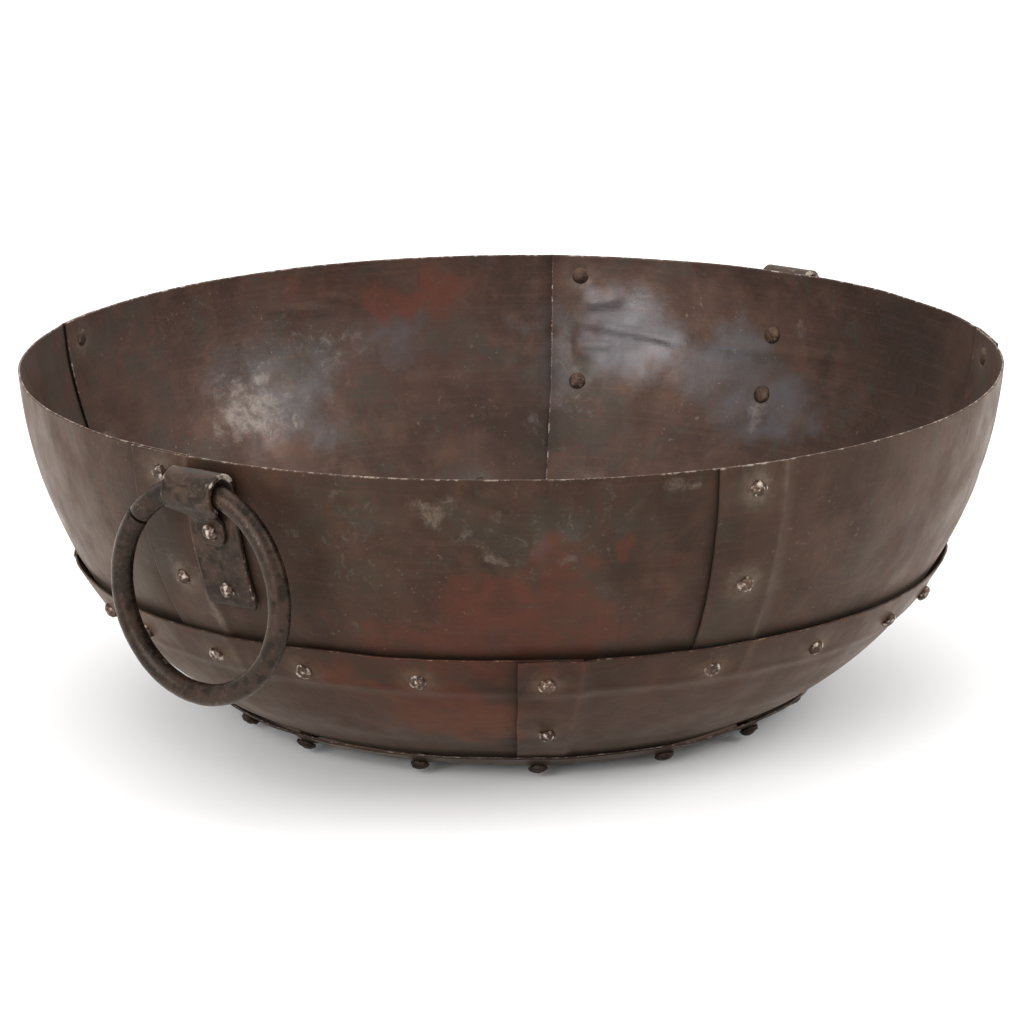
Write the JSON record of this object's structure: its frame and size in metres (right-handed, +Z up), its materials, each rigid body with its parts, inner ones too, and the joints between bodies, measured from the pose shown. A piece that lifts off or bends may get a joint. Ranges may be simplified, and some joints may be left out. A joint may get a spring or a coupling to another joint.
{
  "type": "riveted metal fire bowl",
  "caption": "Wide round-bottomed bowl of lapped and riveted dark metal sheets, with a flat-bottomed dish as its base and ring handles that swing in folded straps at the rim.",
  "frame": {"origin": "centre of the flat underside, on the surface that the bowl stands on", "axes": "+Z up through the rim; the ring handles are within two degrees of the X axis, one at -X and one at +X"},
  "size_m": [0.6477, 0.5988, 0.2132],
  "materials": {
    "upper_sheet": "dark brown oxidised steel sheet, with rust-red and grey patches and a soft sheen",
    "lower_sheet": "dark brown oxidised steel sheet, with orange-brown and grey-green patches",
    "dish_sheet": "dark brown oxidised steel sheet",
    "rivet": "hammered iron, worn bright on the high spots",
    "strap": "folded dark iron strap, worn at the corners",
    "ring_rod": "forged black iron rod with small pits and worn spots"
  },
  "bodies": {
    "bowl": {"upper_plate_1": "upper_sheet", "upper_plate_2": "upper_sheet", "upper_plate_3": "upper_sheet", "upper_plate_4": "upper_sheet", "upper_plate_5": "upper_sheet", "lower_plate_1": "lower_sheet", "lower_plate_2": "lower_sheet", "lower_plate_3": "lower_sheet", "lower_plate_4": "lower_sheet", "base_dish": "dish_sheet", "upper_seam_rivet_1_high": "rivet", "upper_seam_rivet_1_low": "rivet", "upper_seam_rivet_2_high": "rivet", "upper_seam_rivet_2_low": "rivet", "upper_seam_rivet_3_high": "rivet", "upper_seam_rivet_3_low": "rivet", "upper_seam_rivet_4_high": "rivet", "upper_seam_rivet_4_low": "rivet", "upper_seam_rivet_5_high": "rivet", "upper_seam_rivet_5_low": "rivet", "lower_seam_rivet_1": "rivet", "lower_seam_rivet_2": "rivet", "lower_seam_rivet_3": "rivet", "lower_seam_rivet_4": "rivet", "waist_rivet_01": "rivet", "waist_rivet_02": "rivet", "waist_rivet_03": "rivet", "waist_rivet_04": "rivet", "waist_rivet_05": "rivet", "waist_rivet_06": "rivet", "waist_rivet_07": "rivet", "waist_rivet_08": "rivet", "waist_rivet_09": "rivet", "waist_rivet_10": "rivet", "waist_rivet_11": "rivet", "waist_rivet_12": "rivet", "waist_rivet_13": "rivet", "waist_rivet_14": "rivet", "waist_rivet_15": "rivet", "waist_rivet_16": "rivet", "waist_rivet_17": "rivet", "waist_rivet_18": "rivet", "waist_rivet_19": "rivet", "waist_rivet_20": "rivet", "dish_rivet_1": "rivet", "dish_rivet_2": "rivet", "dish_rivet_3": "rivet", "dish_rivet_4": "rivet", "dish_rivet_5": "rivet", "dish_rivet_6": "rivet", "dish_rivet_7": "rivet", "dish_rivet_8": "rivet", "strap_rivet_left_high": "rivet", "strap_rivet_left_low": "rivet", "strap_rivet_right_high": "rivet", "strap_rivet_right_low": "rivet", "handle_strap_left": "strap", "handle_strap_right": "strap"},
    "ring_left": {"ring_handle_left": "ring_rod"},
    "ring_right": {"ring_handle_right": "ring_rod"}
  },
  "joints": [
    {"name": "ring_left_swing", "type": "hinge", "parent": "bowl", "child": "ring_left", "pos_m": [-0.31127, -0.00761, 0.19762], "axis": [-0.0244, 0.9997, 0], "range_deg": [-19, 202]},
    {"name": "ring_right_swing", "type": "hinge", "parent": "bowl", "child": "ring_right", "pos_m": [0.31171, -0.00598, 0.20092], "axis": [-0.0192, -0.9998, 0], "range_deg": [-19, 209]}
  ]
}
